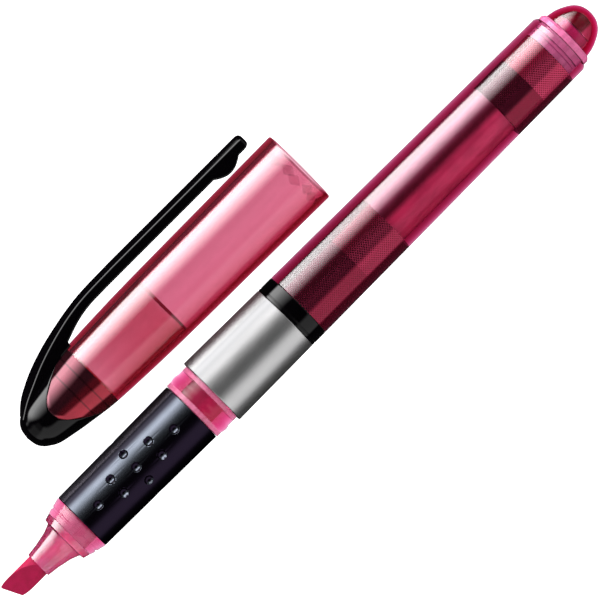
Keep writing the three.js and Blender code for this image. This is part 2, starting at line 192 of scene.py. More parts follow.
def placed(origin, *axes):
    """The matrix of a frame with this origin and these three axes."""
    return Matrix.Translation(origin) @ Matrix(axes).transposed().to_4x4()


def lying_frame(node, mount, station, face_station):
    """The frame of a group that lies turned about its axis: +X along the axis from its tip.

    node's box is centred on the axis at station, its widest place, and mount stands on the
    flat end face at face_station. The matrix takes metres along and across the axis.
    """
    found = next(m for m in RECORD["mounts"] if m["name"] == mount)
    along = Vector(found["axis"]).normalized()
    if along.x < 0:
        along = -along
    low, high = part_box(node)
    middle = (low + high) / 2
    on_axis = middle + along * ((Vector(found["pos_m"]) - middle).dot(along))
    on_axis.y = middle.y
    wide_x = on_axis.x + (station - face_station) * MM * along.x
    on_axis.z = middle.z + (on_axis.x - wide_x) * along.z / along.x
    tip = on_axis - along * face_station * MM
    side = Vector((0, 1, 0))
    return placed(tip, along, side, along.cross(side))


PEN = lying_frame("metal_ring", "cap_seat", RING_FRONT + 0.15, RING_FRONT)
CAP = lying_frame("cap_shell", "cap_rim", CAP_LENGTH - 0.25, CAP_LENGTH)


# ---- Outlines ----


def filleted(corners, closed):
    """Points along an outline of (station, radius[, fillet]) corners, each fillet as an arc."""
    points = []
    count = len(corners)
    for i, corner in enumerate(corners):
        at = Vector(corner[:2])
        fillet = corner[2] if len(corner) > 2 else 0
        if not fillet or (not closed and i in (0, count - 1)):
            points.append(at)
            continue
        before = Vector(corners[i - 1][:2]) - at
        after = Vector(corners[(i + 1) % count][:2]) - at
        half = before.angle(after) / 2
        reach = min(fillet / math.tan(half), 0.48 * before.length, 0.48 * after.length)
        radius = reach * math.tan(half)
        centre = at + (before.normalized() + after.normalized()).normalized() * radius / math.sin(half)
        first = at + before.normalized() * reach - centre
        last = at + after.normalized() * reach - centre
        for step in range(ARC_STEPS + 1):
            spoke = first.lerp(last, step / ARC_STEPS).normalized() * radius
            points.append(centre + spoke)
    return points


def smooth_line(points, steps=12):
    """A Catmull-Rom curve through points, as rows of two numbers."""
    rows = [Vector(p) for p in points]
    rows = [2 * rows[0] - rows[1], *rows, 2 * rows[-1] - rows[-2]]
    made = []
    for a, b, c, d in zip(rows, rows[1:], rows[2:], rows[3:]):
        for step in range(steps):
            t = step / steps
            point = 2 * b + (c - a) * t
            point = point + (2 * a - 5 * b + 4 * c - d) * t**2
            point = point + (3 * b - a - 3 * c + d) * t**3
            made.append(0.5 * point)
    made.append(rows[-2])
    return np.array([tuple(p) for p in made])


CAP_SKIN = smooth_line(CAP_OUTLINE)
BACK_LINE = smooth_line(CLIP_BACK)
SHOULDER_LINE = smooth_line(CLIP_SHOULDER)
FRONT_LINE = smooth_line(CLIP_FRONT)


def on_line(line, station):
    return float(np.interp(station, line[:, 0], line[:, 1]))


def cap_radius(station):
    return on_line(CAP_SKIN, station)


def spread(first, last, count):
    """Stations from first to last, both included."""
    return [first + (last - first) * i / count for i in range(count + 1)]


# ---- Meshes ----


def finished(name, vertices, faces, axis_frame, sharp=SHARP_ANGLE):
    """A mesh object in the row frame from vertices in axis millimetres. Its own places go with it."""
    mesh = bpy.data.meshes.new(name)
    mesh.from_pydata([axis_frame @ (Vector(v) * MM) for v in vertices], [], faces)
    work = bmesh.new()
    work.from_mesh(mesh)
    bmesh.ops.recalc_face_normals(work, faces=work.faces)
    work.to_mesh(mesh)
    work.free()
    piece = bpy.data.objects.new(name, mesh)
    bpy.context.scene.collection.objects.link(piece)
    mark_places(piece, axis_frame)
    shade(piece, sharp)
    return piece


def mark_places(piece, axis_frame):
    """Stores each point's place in axis millimetres, which the materials read."""
    mesh = piece.data
    coords = np.empty(len(mesh.vertices) * 3)
    mesh.vertices.foreach_get("co", coords)
    back = np.array(axis_frame.inverted())
    local = (coords.reshape(-1, 3) @ back[:3, :3].T + back[:3, 3]) / MM
    attribute = mesh.attributes.get(PLACE) or mesh.attributes.new(PLACE, "FLOAT_VECTOR", "POINT")
    attribute.data.foreach_set("vector", local.ravel())


def shade(piece, sharp):
    """Smooth shading, with edges that turn by more than sharp left crisp."""
    piece.data.polygons.foreach_set("use_smooth", [True] * len(piece.data.polygons))
    piece.data.set_sharp_from_angle(angle=sharp)


def round_mesh(count, sides, point_at):
    """Vertices and faces of count rows round the axis. point_at(row, step) is (station, radius).

    A row at radius 0 is one point. Rows that don't start on the axis close on themselves.
    """
    vertices, rings = [], []
    for row in range(count):
        station, radius = point_at(row, 0)
        if radius == 0:
            rings.append([len(vertices)])
            vertices.append((station, 0, 0))
            continue
        rings.append(list(range(len(vertices), len(vertices) + sides)))
        for step in range(sides):
            angle = 2 * math.pi * step / sides
            station, radius = point_at(row, step)
            vertices.append((station, radius * math.cos(angle), radius * math.sin(angle)))
    if len(rings[0]) > 1:
        rings.append(rings[0])
    faces = []
    for one, two in zip(rings, rings[1:]):
        for i in range(sides):
            j = (i + 1) % sides
            if len(one) == 1:
                faces.append((one[0], two[i], two[j]))
            elif len(two) == 1:
                faces.append((one[i], two[0], one[j]))
            else:
                faces.append((one[i], two[i], two[j], one[j]))
    return vertices, faces


def turned_parts(rows, sides=SIDES, bend=None):
    """Vertices and faces of rows turned about the axis. bend moves a point by its angle."""

    def point_at(row, step):
        station, radius = rows[row]
        return bend(station, radius, 2 * math.pi * step / sides) if bend else (station, radius)

    return round_mesh(len(rows), sides, point_at)


def turned(name, corners, axis_frame=PEN, sides=SIDES, bend=None):
    """A body turned about its group's axis. The outline closes on itself or ends on the axis."""
    closed = corners[0][1] > 0
    vertices, faces = turned_parts(filleted(corners, closed), sides, bend)
    return finished(name, vertices, faces, axis_frame)


def paint_inside(piece, radius_at):
    """Gives the second material to the faces that lie wholly within radius_at(station)."""
    places = [tuple(a.vector) for a in piece.data.attributes[PLACE].data]
    inside = [math.hypot(y, z) < radius_at(x) for x, y, z in places]
    for face in piece.data.polygons:
        if all(inside[v] for v in face.vertices):
            face.material_index = 1


def wear(piece, *materials):
    """Gives piece its materials, and keeps it out of other pieces' reflections."""
    piece.data.materials.clear()
    for material in materials:
        piece.data.materials.append(material)
    piece.visible_glossy = False


def dressed(piece, body, nodes, slot, *materials):
    """Rides piece on its body in place of its CAD nodes, with its materials. Its slot argument is not used.
    """
    wear(piece, *materials)
    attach(piece, body)
    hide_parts(*nodes)
    return piece


# ---- Material tools ----


class Shader:
    """A material's or world's node tree, with short calls for the nodes that are used here."""

    def __init__(self, name, world=False):
        owners = bpy.data.worlds if world else bpy.data.materials
        self.owner = owners.new(name)
        self.owner.use_nodes = True
        self.tree = self.owner.node_tree
        self.tree.nodes.clear()
        self.output = self.node("OutputWorld" if world else "OutputMaterial")

    def feed(self, socket, value):
        if isinstance(value, bpy.types.NodeSocket):
            self.tree.links.new(value, socket)
        elif isinstance(value, (tuple, list)) and len(value) == 3 and len(socket.default_value) == 4:
            socket.default_value = (*value, 1)
        else:
            socket.default_value = value

    def node(self, kind, settings=None, **inputs):
        """A new node. Its inputs are given by name, with _ for each space."""
        made = self.tree.nodes.new("ShaderNode" + kind)
        for name, value in (settings or {}).items():
            setattr(made, name, value)
        for name, value in inputs.items():
            self.feed(made.inputs[name.replace("_", " ")], value)
        return made

    def joined(self, kind, settings, *values):
        """The output of a new node whose inputs are given in order."""
        made = self.node(kind, settings)
        for socket, value in zip(made.inputs, values):
            self.feed(socket, value)
        return made.outputs[0]

    def math(self, operation, *values):
        return self.joined("Math", {"operation": operation}, *values)

    def times(self, product, *others):
        """The product of all the values."""
        for value in others:
            product = self.math("MULTIPLY", product, value)
        return product

    def over(self, value, limit):
        """1 where value is more than limit, else 0."""
        return self.math("GREATER_THAN", value, limit)

    def place(self, scale=(1, 1, 1)):
        """The point's own place in axis millimetres, times scale."""
        read = self.node("Attribute", {"attribute_name": PLACE})
        return self.joined("VectorMath", {"operation": "MULTIPLY"}, read.outputs["Vector"], scale)

    def row_place(self):
        """A CAD node's own place, in millimetres of the row frame."""
        read = self.node("TexCoord").outputs["Object"]
        return self.node("VectorMath", {"operation": "SCALE"}, Vector=read, Scale=1 / MM).outputs[0]

    def noise(self, vector, scale, detail=2.0, roughness=0.5):
        made = self.node("TexNoise", Vector=vector, Scale=scale, Detail=detail, Roughness=roughness)
        return made.outputs["Fac"]

    def between(self, value, low, high, to_low=0.0, to_high=1.0, smooth=True):
        """value's way from low to high, as a number from to_low to to_high."""
        ends = {"From_Min": low, "From_Max": high, "To_Min": to_low, "To_Max": to_high}
        kind = "SMOOTHSTEP" if smooth else "LINEAR"
        return self.node("MapRange", {"interpolation_type": kind}, Value=value, **ends).outputs[0]

    def blend(self, factor, first, second):
        """A colour between two colours."""
        made = self.node("Mix", {"data_type": "RGBA"})
        self.feed(made.inputs[0], factor)
        self.feed(made.inputs[6], first)
        self.feed(made.inputs[7], second)
        return made.outputs[2]

    def ramp(self, value, low, high, first, second):
        """The colour that goes from first to second as value goes from low to high."""
        return self.blend(self.between(value, low, high), first, second)

    def bump(self, height, strength, distance_mm):
        made = self.node("Bump", Height=height, Strength=strength, Distance=distance_mm * MM)
        return made.outputs["Normal"]

    def mix(self, factor, first, second):
        return self.joined("MixShader", None, factor, first, second)

    def mirror_share(self, head_on, falloff=5.0):
        """How much a polished plastic face mirrors, head on and rising towards a glancing view."""
        facing = self.node("LayerWeight").outputs["Facing"]
        return self.between(self.math("POWER", facing, falloff), 0, 1, head_on, 1, smooth=False)

    def principled(self, colour, roughness, **inputs):
        """A principled shader of this colour and roughness."""
        return self.node("BsdfPrincipled", Base_Color=colour, Roughness=roughness, **inputs).outputs[0]

    def done(self, surface, volume=None):
        self.tree.links.new(surface, self.output.inputs["Surface"])
        if volume is not None:
            self.tree.links.new(volume, self.output.inputs["Volume"])
        return self.owner


# How much less the bore and the side on the table mirror
BORE_MIRROR = 0.15
UNDERSIDE_MIRROR = 0.15


def axis_part(s, part):
    """The point's station (X) or its place across the axis (Y to the clip's side, Z up)."""
    return s.node("SeparateXYZ", Vector=s.place()).outputs[part]


def clear_plastic(name, density, colour, haze_colour, haze, mirror, bore=None, roughness=0.05, print_or_painted_shade=None):
    """Clear tinted plastic: light goes straight through and is absorbed by depth.

    density is per metre. A little haze stands for the moulding's scatter and fine scratches; it
    and its colour are values, or functions that make sockets. mirror is how much the polish throws
    back head on, away from the clip's side and towards it. bore is (radius, slope): points nearer
    the axis than radius + slope * station lie on the bore, which is less polished.
    print_or_painted_shade(shader, within) makes the shader of a print or of painted shade laid over the body,
    its cover, and how much polish is left on it.
    """
    s = Shader(name)
    flow = s.noise(s.place((0.15, 1.2, 1.2)), 1.0, 3)
    grain = s.noise(s.place((6, 14, 14)), 1.0, 2)
    through = s.node("BsdfTransparent")
    scatter = s.node("BsdfDiffuse", Color=haze_colour(s) if callable(haze_colour) else haze_colour)
    haze_at = haze(s) if callable(haze) else haze
    share = s.times(haze_at, s.between(flow, 0.3, 0.7, 0.8, 1.2))
    body = s.mix(share, through.outputs[0], scatter.outputs[0])
    polish = s.between(grain, 0.35, 0.75, roughness * 0.7, roughness * 1.5)
    gloss = s.node("BsdfAnisotropic", Roughness=polish, Normal=s.bump(flow, 0.08, 0.02))
    mirrored = s.mirror_share(s.between(axis_part(s, "Y"), -1, 1, *mirror))
    mirrored = s.times(mirrored, s.between(axis_part(s, "Z"), -1, 0.5, UNDERSIDE_MIRROR, 1))
    if bore:
        bore_line = s.math("MULTIPLY_ADD", axis_part(s, "X"), bore[1], bore[0])
        within = s.math("LESS_THAN", from_axis(s), bore_line)
        mirrored = s.times(mirrored, s.math("MULTIPLY_ADD", within, BORE_MIRROR - 1, 1.0))
    if print_or_painted_shade:
        print_or_shade_shader, cover, polish_left = print_or_painted_shade(s, within)
        mirrored = s.times(mirrored, polish_left)
        body = s.mix(cover, body, print_or_shade_shader)
    surface = s.mix(mirrored, body, gloss.outputs[0])
    absorb = s.node("VolumeAbsorption", Color=colour, Density=density)
    return s.done(surface, absorb.outputs[0])


def lean(s):
    """How far the face leans towards the clip's side: 1 faces it, -1 faces away from it."""
    return s.node("SeparateXYZ", Vector=s.node("NewGeometry").outputs["Normal"]).outputs["Y"]


def from_axis(s):
    """The point's distance from its group's axis."""
    return s.node("VectorMath", {"operation": "LENGTH"}, Vector=s.place((0, 1, 1))).outputs["Value"]


def black_gloss():
    """Polished black plastic with a faint orange peel and a little dust."""
    s = Shader("black_gloss")
    orange_peel = s.noise(s.place((1.2, 1.2, 1.2)), 1.0, 2)
    dust = s.noise(s.place((9, 9, 9)), 1.0, 4, 0.6)
    colour = s.ramp(dust, 0.4, 0.8, (0.0004, 0.0002, 0.0005), (0.0016, 0.001, 0.002))
    roughness = s.between(dust, 0.4, 0.8, 0.06, 0.14)
    return s.done(s.principled(colour, roughness, Normal=s.bump(orange_peel, 0.06, 0.01), IOR=1.46))


def grip_rubber():
    """Smooth black rubber, metallic, whose colour is painted by the way each face leans: a painted bluish
    highlight where it leans a little to the softbox, painted shade beyond that and on faces turned away, and
    a painted grey reflection at the glancing edge.
    """
    s = Shader("grip_rubber")
    grain = s.noise(s.place((16, 16, 16)), 1.0, 3, 0.6)
    wear = s.noise(s.place((0.3, 0.9, 0.9)), 1.0, 2)
    facing = lean(s)
    # Painted highlight and shade: the colour follows how far the face leans towards the softbox.
    painted_lit_side = s.ramp(wear, 0.35, 0.7, (0.145, 0.16, 0.195), (0.125, 0.14, 0.17))
    colour = s.ramp(facing, 0.42, 0.66, painted_lit_side, (0.013, 0.012, 0.017))
    colour = s.ramp(facing, 0.76, 0.84, colour, (0.3, 0.27, 0.33))
    colour = s.ramp(facing, -0.12, 0.14, (0.03, 0.02, 0.042), colour)
    roughness = s.between(grain, 0.3, 0.75, 0.24, 0.32)
    sheen = {"Metallic": 1, "Specular_Tint": (0.3, 0.3, 0.35)}
    return s.done(s.principled(colour, roughness, Normal=s.bump(grain, 0.12, 0.03), **sheen))


def satin_metal():
    """Blasted metal with a fine grain and faint smears. Its colour is painted across the axis: darker where
    it faces the softbox and near white on the far side and at the edge nearest the clip, painted shade and
    light that even out its reflections.
    """
    s = Shader("satin_metal")
    blast = s.noise(s.place((18, 18, 18)), 1.0, 3, 0.65)
    smear = s.noise(s.place((0.25, 1.1, 1.1)), 1.0, 2)
    across = axis_part(s, "Y")
    # Painted light and shade: near white away from the softbox, a middle tone, and dark where the softbox
    # reflects.
    painted_bright_tone = s.ramp(smear, 0.3, 0.7, (0.97, 0.965, 0.97), (1, 1, 1))
    middle = s.ramp(smear, 0.3, 0.7, (0.8, 0.795, 0.8), (0.88, 0.875, 0.88))
    painted_lit_side = s.ramp(blast, 0.3, 0.7, (0.18, 0.18, 0.184), (0.21, 0.21, 0.214))
    colour = s.ramp(across, -1.9, -0.6, painted_bright_tone, middle)
    colour = s.ramp(across, 0.5, 3.3, colour, painted_lit_side)
    colour = s.ramp(across, 4.0, 5.5, colour, painted_bright_tone)
    roughness = s.between(blast, 0.3, 0.75, 0.34, 0.42)
    return s.done(s.principled(colour, roughness, Normal=s.bump(blast, 0.12, 0.02), Metallic=1))


def nib_fibre():
    """Pressed fibre soaked with ink: fine strands along the nib, darker where ink has pooled."""
    s = Shader("nib_fibre")
    strands = s.noise(s.place((0.9, 14, 14)), 1.0, 4, 0.6)
    pools = s.noise(s.place((0.8, 1, 1)), 1.0, 2)
    soaked = s.ramp(pools, 0.3, 0.7, (0.36, 0.002, 0.045), (0.27, 0.0012, 0.03))
    colour = s.ramp(strands, 0.35, 0.75, soaked, (0.4, 0.008, 0.07))
    roughness = s.between(strands, 0.3, 0.7, 0.55, 0.85)
    normal = s.bump(strands, 0.5, 0.05)
    return s.done(s.principled(colour, roughness, Normal=normal, Specular_IOR_Level=0.2))


def holder_pink():
    """Milky pink plastic that scatters light right through itself, with a polished skin. Its colour is
    painted paler on the side away from the clip and darker on the side facing the softbox.
    """
    s = Shader("holder_pink")
    flow = s.noise(s.place((0.5, 1.4, 1.4)), 1.0, 3)
    # Painted light and shade: two copies of the pink, chosen by side.
    painted_lit_side = s.ramp(flow, 0.3, 0.7, (0.22, 0.025, 0.07), (0.26, 0.032, 0.085))
    painted_bright_tone = s.ramp(flow, 0.3, 0.7, (0.62, 0.09, 0.2), (0.7, 0.12, 0.25))
    surface = s.principled(
        s.ramp(axis_part(s, "Y"), -0.4, 1.9, painted_bright_tone, painted_lit_side),
        s.between(flow, 0.3, 0.7, 0.05, 0.1),
        Normal=s.bump(flow, 0.1, 0.02),
        Subsurface_Weight=1,
        Subsurface_Radius=(1, 0.4, 0.6),
        Subsurface_Scale=0.0015,
        IOR=1.55,
        Coat_Weight=1,
        Coat_Roughness=0.02,
        Coat_IOR=1.7,
    )
    return s.done(surface)


def painted_side_tint(s, far_side, clip_side, sway=0.15, turn=(-0.95, -0.25), metallic=0.15, coat=0.3, lines=()):
    """A dark, wet-looking surface whose colour is painted by side as reflected light and shade: it throws
    light back tinted in far_side away from the clip, and less so in clip_side towards it, where the softbox
    stands.

    The colour goes from far_side to clip_side over the stretch turn, across the axis, and swings
    by the share sway. lines are stations where a darker line runs round.
    """
    swirl = s.noise(s.place((0.2, 0.5, 0.5)), 1.0, 3)
    strength = s.between(swirl, 0.3, 0.7, 1 - sway, 1 + sway)
    for station in lines:
        away = s.math("ABSOLUTE", s.math("SUBTRACT", axis_part(s, "X"), station))
        strength = s.times(strength, s.between(away, 0.05, 0.22, 0.5, 1))
    tint = s.ramp(axis_part(s, "Y"), *turn, far_side, clip_side)
    deeper = s.node("VectorMath", {"operation": "SCALE"}, Vector=tint, Scale=strength)
    return s.principled(
        deeper.outputs[0],
        s.between(swirl, 0.3, 0.7, 0.06, 0.12),
        Metallic=metallic,
        Specular_IOR_Level=0.15,
        Coat_Weight=coat,
        Coat_Roughness=0.05,
        Coat_IOR=1.5,
    )


def painted_side_tint_material(name, far_side, clip_side, **settings):
    """A material whose colour is painted by side all over, as light and shade."""
    s = Shader(name)
    return s.done(painted_side_tint(s, far_side, clip_side, **settings))


def ink_liquid():
    """The ink in the tank, its colour painted by side: bright red away from the clip, a painted dark stripe
    along its middle, and a paler painted highlight tint towards the clip's side.
    """
    s = Shader("ink_liquid")
    # Painted shade along the middle and a painted highlight tint on the clip's half.
    middle, clip_side = (0.13, 0.02, 0.04), (0.45, 0.3, 0.34)
    painted_clip_half = s.ramp(axis_part(s, "Y"), 0.3, 2.0, middle, clip_side)
    return s.done(painted_side_tint(s, (1, 0.24, 0.38), painted_clip_half, turn=(-1.1, 0.2)))


# The mesh print's bands: (first station, last station, how light its threads are)
MESH_ZONES = [(62.9, 73.4, 0.16), (73.4, 81.4, 0.4), (105.7, 111.8, 0.1), (111.8, 117.4, 0.85)]
MESH_PITCH = 0.32
# How much the print covers the skin away from the clip and towards it; less towards it is painted light that
# keeps the highlight bright
MESH_ON_SKIN = (0.8, 0.08)
# Where painted shade darkens the print along its far edge, across the axis
PAINTED_SHADE_EDGE = (-4.6, -4.2)
THREAD_LIGHT = 1.5
THREAD_DULLS = 0.32


def mesh_print(s, within):
    """The fine crossed-line mesh print on the barrel in bands, with clear plastic between. Besides the
    threads' own lightness, its colour is painted by side as light and shade and painted darker along the far
    edge, and it covers the skin less on the clip's side, painted light that leaves the highlight there
    bright.
    """
    place = s.node("SeparateXYZ", Vector=s.place())
    around = s.times(s.math("ARCTAN2", place.outputs["Y"], place.outputs["Z"]), BARREL_BORE_R)
    station = place.outputs["X"]
    thread = cover = lightness = 0
    for direction in (1, -1):
        way = s.math("MULTIPLY_ADD", around, direction, station)
        wave = s.math("SINE", s.times(way, 2 * math.pi / (MESH_PITCH * math.sqrt(2))))
        thread = s.math("MAXIMUM", thread, s.between(wave, 0.25, 0.75))
    for first, last, light in MESH_ZONES:
        inside = s.times(s.over(station, first), s.math("LESS_THAN", station, last))
        cover = s.math("ADD", cover, inside)
        lightness = s.math("ADD", lightness, s.times(inside, light))
    shown = s.times(lightness, s.times(thread, THREAD_LIGHT))
    # Painted light and shade: the print's tones differ by side, and turn dark along the far edge.
    far_side = s.blend(shown, (0.26, 0.012, 0.04), (0.75, 0.06, 0.16))
    far_side = s.ramp(place.outputs["Y"], *PAINTED_SHADE_EDGE, (0.07, 0.003, 0.01), far_side)
    clip_side = s.blend(shown, (0.02, 0.0008, 0.005), (0.55, 0.05, 0.12))
    shader = painted_side_tint(s, far_side, clip_side, 0.05, turn=(-2.4, -1.6), metallic=0.3, coat=0.12)
    # The print covers the skin less on the clip's side, painted light that keeps the highlight bright.
    on_skin = s.between(place.outputs["Y"], -1, 1, *MESH_ON_SKIN)
    shown_share = s.times(cover, s.math("MAXIMUM", within, on_skin))
    polish_left = s.math("MULTIPLY_ADD", s.times(thread, cover), -THREAD_DULLS, 1)
    return shader, shown_share, polish_left


def section_core(s, within):
    """What shows through the section: the ink-stained regulator, paler in front, its colour painted lighter
    on the side away from the clip and darker towards the softbox as light and shade.
    """
    blotch = s.noise(s.place((1.5, 0.7, 0.7)), 1.0, 2)
    rearward = s.between(axis_part(s, "X"), 20, 30)
    # Painted light and shade: the far side's colours are brighter than the clip side's.
    far_side = s.blend(rearward, (0.9, 0.16, 0.38), (1, 0.1, 0.33))
    clip_side = s.blend(rearward, (0.54, 0.14, 0.25), (0.5, 0.055, 0.16))
    colour = s.ramp(axis_part(s, "Y"), -1.2, 0.4, far_side, clip_side)
    colour = s.blend(s.between(blotch, 0.4, 0.8, 0, 0.25), colour, (0.4, 0.03, 0.1))
    matte = s.node("BsdfDiffuse", Color=colour)
    polish_left = s.blend(rearward, (0.9, 0.9, 0.9), s.between(lean(s), 0.42, 0.62, 0.9, 0.12))
    return matte.outputs[0], within, polish_left


def moulded(name, colour, stain):
    """Plain moulded plastic inside the pen, stained by ink."""
    s = Shader(name)
    place = s.row_place()
    blotch = s.noise(place, 0.8, 3)
    grain = s.noise(place, 9.0, 2)
    stained = s.ramp(blotch, 0.35, 0.7, colour, stain)
    roughness = s.between(grain, 0.3, 0.7, 0.3, 0.5)
    return s.done(s.principled(stained, roughness, Normal=s.bump(grain, 0.1, 0.02)))


# The cap's nubs: how far in they start and how they're shown, and how much painted shade darkens the bore's
# edge-on band, the nubs and the lip
NUB_LINE_R = 5.035
NUB_LINE_SLOPE = 0.0107
NUB_STRETCH_FROM = 50
NUB_POLISH = 0.6
NUB_PAINTED_SHADE = 0.15
BORE_EDGE_PAINTED_SHADE = 0.6
LIP_PAINTED_SHADE = 0.25
LIP_LENGTH = 0.35


def cap_bore_painted_shade(s, within):
    """The cap's bore: painted shade where it's seen edge-on on the clip's side, on the nubs and at the
    mouth's lip, with polished nubs.
    """
    station = axis_part(s, "X")
    nub_line = s.math("MULTIPLY_ADD", station, NUB_LINE_SLOPE, NUB_LINE_R)
    on_stretch = s.over(station, NUB_STRETCH_FROM)
    nub = s.times(s.math("LESS_THAN", from_axis(s), nub_line), on_stretch)
    lip = s.over(station, CAP_LENGTH - LIP_LENGTH)
    polish_left = s.math("MULTIPLY_ADD", nub, NUB_POLISH / BORE_MIRROR, 1)
    polish_left = s.times(polish_left, s.math("MULTIPLY_ADD", lip, -0.8, 1))
    # Painted shade: a dark diffuse layer over the bore's edge-on band, the nubs and the lip.
    facing = s.node("LayerWeight").outputs["Facing"]
    painted_shade_band = s.times(s.between(facing, 0.5, 0.55), s.between(axis_part(s, "Y"), -1, 4))
    painted_edge_shade = s.times(painted_shade_band, BORE_EDGE_PAINTED_SHADE)
    cover = s.math("MAXIMUM", painted_edge_shade, s.times(nub, NUB_PAINTED_SHADE))
    lip_cover = s.times(lip, LIP_PAINTED_SHADE)
    cover = s.math("MAXIMUM", s.times(within, cover), lip_cover)
    painted_shade = s.node("BsdfDiffuse", Color=(0.1, 0.006, 0.014))
    return painted_shade.outputs[0], cover, polish_left


def plug_tint(s):
    """The plug's haze: pale in the barrel and on the boss, stronger on the bare flange."""
    station = axis_part(s, "X")
    outside = s.over(station, BARREL_REAR + 0.03)
    colour = s.blend(outside, (1, 0.72, 0.9), (0.72, 0.16, 0.34))
    return s.blend(s.over(station, PLUG_REAR + 0.02), colour, (1, 0.5, 0.8))


def section_haze(s):
    """The section is clear over its neck's middle and milky at the neck's ends and at the front."""
    station = axis_part(s, "X")
    front = s.between(station, GRIP_FRONT, GRIP_FRONT - 0.5, 0, 0.22)
    off_middle = s.math("ABSOLUTE", s.math("SUBTRACT", station, NECK_MIDDLE))
    neck = s.between(off_middle, 1.2, 1.45, 0.03, 0.45)
    return s.math("MAXIMUM", front, s.times(neck, s.over(station, 30)))


CAP_CLEAR = clear_plastic(
    "cap_clear",
    1290,
    (0.733, 0.07, 0.3),
    (0.75, 0.16, 0.26),
    0.04,
    (0.1, 0.17),
    bore=(5.19, 0.0155),
    print_or_painted_shade=cap_bore_painted_shade,
)
CUP_CLEAR = clear_plastic(
    "cup_clear", 600, (0.8, 0.1, 0.2), (0.7, 0.2, 0.25), 0.04, (0.02, 0.02), roughness=0.1
)
BARREL_CLEAR = clear_plastic(
    "barrel_clear",
    900,
    (0.7, 0.085, 0.39),
    (0.6, 0.05, 0.18),
    0.02,
    (0.006, 0.15),
    bore=(BARREL_BORE_R + 0.05, 0),
    print_or_painted_shade=mesh_print,
)
DOME_CLEAR = clear_plastic("dome_clear", 1440, (0.78, 0.01, 0.4), (0.6, 0.05, 0.18), 0.02, (0.03, 0.12))
SECTION_CLEAR = clear_plastic(
    "section_clear",
    480,
    (0.78, 0.02, 0.42),
    (0.95, 0.3, 0.5),
    section_haze,
    (0.05, 0.07),
    bore=(SECTION_BORE_R + 0.05, 0),
    print_or_painted_shade=section_core,
)
PLUG_CLEAR = clear_plastic("plug_clear", 150, (0.77, 0.07, 0.37), plug_tint, 0.9, (0.03, 0.06))
BLACK = black_gloss()
RUBBER = grip_rubber()
METAL = satin_metal()
FIBRE = nib_fibre()
HOLDER = holder_pink()
INK = ink_liquid()
# The shell's solid end, its colour painted by side as reflected light and shade, with darker lines round at
# two stations.
CAP_SOLID = painted_side_tint_material(
    "cap_solid_end",
    (0.55, 0.03, 0.06),
    (0.12, 0.02, 0.035),
    turn=(-1.4, -0.2),
    metallic=0.88,
    coat=0.8,
    lines=(9.9, 12.3),
)
CUP_LIP = painted_side_tint_material("cup_lip", (0.4, 0.02, 0.07), (0.4, 0.02, 0.07))
# The dome hollow's face, its colour painted by side: light pink away from the clip and dark towards it, as
# light and shade.
DOME_HOLLOW_PAINTED_TINT = painted_side_tint_material("dome_hollow_painted_tint", (1, 0.5, 0.6), (0.25, 0.01, 0.035), turn=(-1.5, -1.0))
FEED = moulded("feed_plastic", (0.7, 0.04, 0.15), (0.5, 0.015, 0.08))
SEAL = moulded("seal_rubber", (0.02, 0.018, 0.02), (0.035, 0.02, 0.025))
SILICONE = moulded("seal_silicone", (0.95, 0.62, 0.8), (0.85, 0.52, 0.7))


# ---- The pen ----


def nib():
    """A fibre rod with the long face and the short bevel cut off its front."""
    rows = [(0, 0), (0, NIB_R), *((x, NIB_R) for x in spread(0.5, 8, 15)), (NIB_REAR, NIB_R), (NIB_REAR, 0)]
    vertices, faces = turned_parts([Vector(r) for r in rows], 64)
    work = bmesh.new()
    made = [work.verts.new(v) for v in vertices]
    for face in faces:
        work.faces.new([made[i] for i in face])
    near, far = Vector((0, 1.35, -1)), Vector((1.5, -1.7, -1))
    top = Vector((HOLDER_FRONT - GAP, 0, NIB_R))
    edge = far - near
    for normal in (edge.cross(top - near), Vector((2, 1, -1.3)).cross(edge)):
        cut = bmesh.ops.bisect_plane(
            work,
            geom=work.verts[:] + work.edges[:] + work.faces[:],
            plane_co=near,
            plane_no=normal,
            clear_outer=True,
        )
        rim = [e for e in cut["geom_cut"] if isinstance(e, bmesh.types.BMEdge)]
        bmesh.ops.contextual_create(work, geom=rim)
    work.verts.index_update()
    vertices = [tuple(v.co) for v in work.verts]
    faces = [tuple(v.index for v in f.verts) for f in work.faces]
    work.free()
    piece = finished("nib_fibre_tip", vertices, faces, PEN)
    soften = piece.modifiers.new("soften", "BEVEL")
    soften.width = 0.09 * MM
    soften.segments = 3
    soften.angle_limit = math.radians(25)
    return dressed(piece, "pen", ["nib"], "nib_fibre", FIBRE)


def nib_holder():
    """The flared cone with its flange, and the spigot behind it."""
    corners = [
        (HOLDER_FRONT, 2.0, 0.05), (HOLDER_FRONT, 2.2, 0.08), (8.3, 2.42, 3),
        (10.6, 2.9, 3), (12.0, 3.45, 0.3), (12.1, 4.15, 0.12),
        (SECTION_FRONT - 0.01, 4.46, 0.08), (SECTION_FRONT - 0.01, 3.2),
        (SPIGOT_REAR, 3.2, 0.1), (SPIGOT_REAR, 2.0),
    ]
    return dressed(turned("nib_holder_cone", corners), "pen", ["nib_holder"], "pink_clear", HOLDER)


def seal_groove(stretch, outer):
    """The corners of an O-ring's groove, sunk from the radius outer."""
    front, rear = stretch
    return [(front, outer), (front, SEAL_GROOVE_R), (rear, SEAL_GROOVE_R), (rear, outer)]


